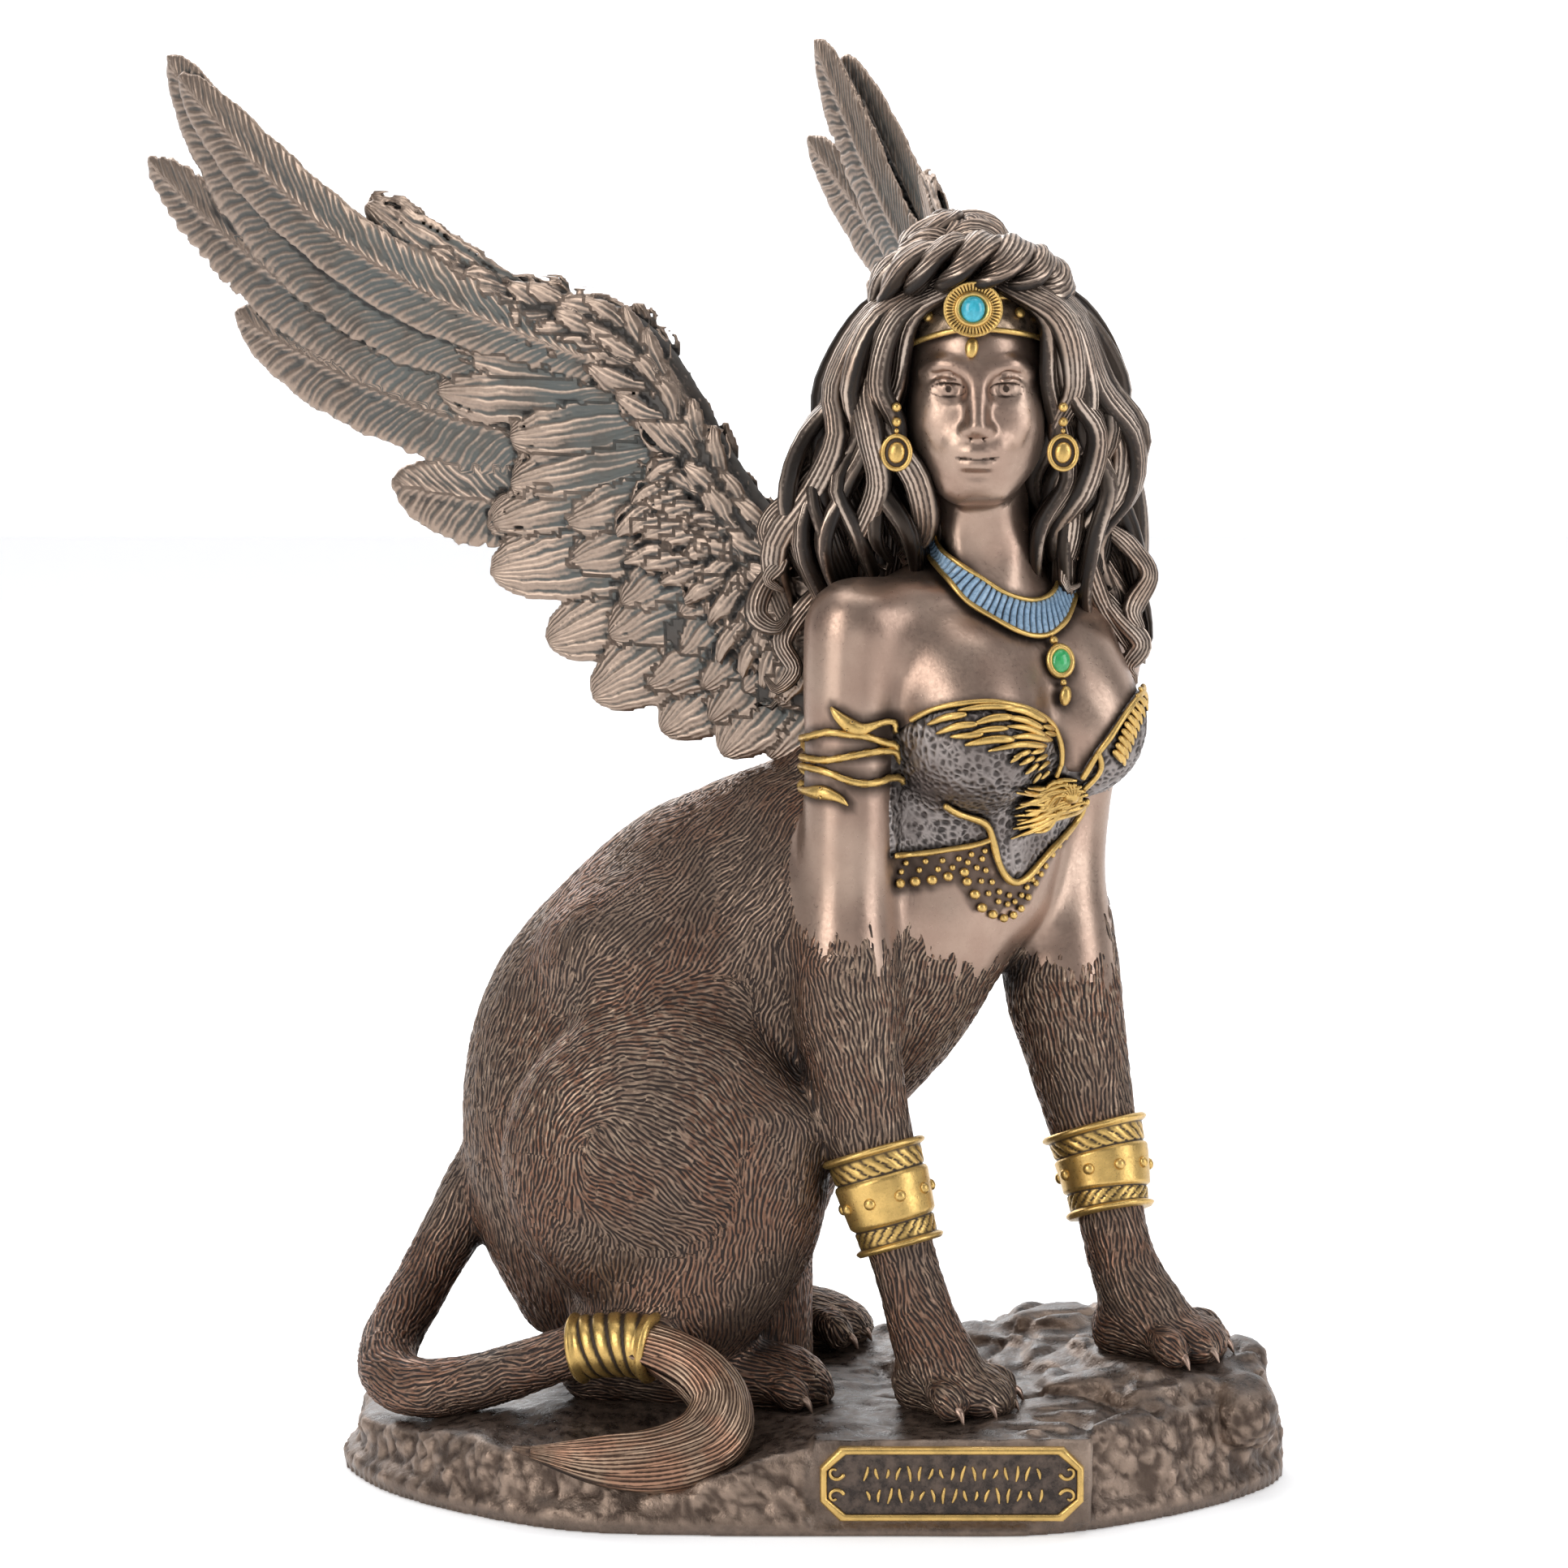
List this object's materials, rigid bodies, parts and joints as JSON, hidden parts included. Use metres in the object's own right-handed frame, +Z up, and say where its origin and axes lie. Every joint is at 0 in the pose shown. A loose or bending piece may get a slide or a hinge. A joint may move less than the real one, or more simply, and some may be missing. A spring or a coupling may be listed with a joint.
{
  "type": "winged sphinx figurine",
  "caption": "Seated winged sphinx with a woman's head and chest and a lion's body, cast in one with an oval rocky base that carries a small plaque.",
  "frame": {"origin": "on the flat underside, under the middle of the base", "axes": "+Z up; -Y towards the front, where the plaque is; +X to the viewer's right, the way the lion's body faces"},
  "size_m": [0.2001, 0.1946, 0.2445],
  "materials": {
    "bronze": "satin antique bronze over cast resin, pinkish brown on the smooth skin",
    "fur": "carved fur, dark brown in the cuts and rubbed copper on the ridges",
    "wing": "rubbed bronze ridges over a blue-grey verdigris wash",
    "gold": "gold paint with a dark wash in the hollows",
    "rock": "dark glossy bronze rock, rubbed lighter on its rough sides",
    "enamel": "glossy turquoise, green and pale blue paint on the stones and collar"
  },
  "bodies": {
    "root": {"sphinx_statue": "bronze"}
  },
  "joints": []
}
